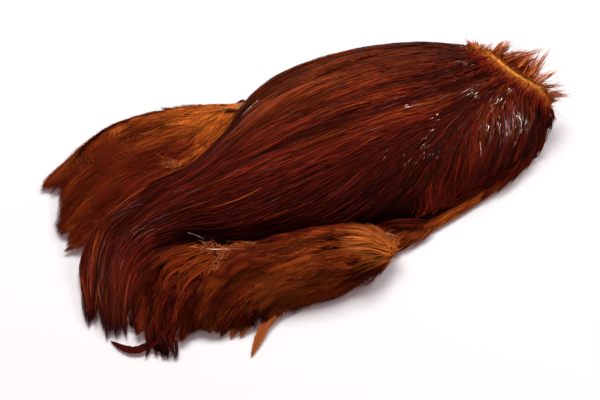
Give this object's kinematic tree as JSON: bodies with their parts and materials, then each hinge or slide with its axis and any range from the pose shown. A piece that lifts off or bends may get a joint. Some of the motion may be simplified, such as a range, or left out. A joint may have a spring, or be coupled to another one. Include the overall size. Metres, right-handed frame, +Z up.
{
  "type": "rooster cape",
  "caption": "Dried rooster neck skin lying flat, feathers up: a domed mantle of long glossy hackles, a spiky crest, two webby side flaps and a tapering curled tail end.",
  "frame": {"origin": "centre of the outline at the underside of the skin", "axes": "+X along the neck towards the head end, +Z up out of the feathers, +Y across to the side of the wide flat flap"},
  "size_m": [0.3008, 0.177, 0.0323],
  "materials": {
    "skin": "dry, pale, slightly translucent hide",
    "glossy_hackle": "glossy dark mahogany feather with fine barbs",
    "crest_feather": "short rusty feather, bright at the base",
    "pale_under_feather": "soft light orange-brown feather",
    "side_feather": "matt warm brown webby feather",
    "rolled_feather": "matt orange-brown downy feather",
    "shoulder_feather": "satin dark brown feather"
  },
  "bodies": {
    "root": {"skin": "skin", "neck_hackles": "glossy_hackle", "crest_feathers": "crest_feather", "edge_feathers": "pale_under_feather", "far_side_feathers": "side_feather", "near_side_feathers": "rolled_feather", "shoulder_whorl": "shoulder_feather"}
  },
  "joints": []
}
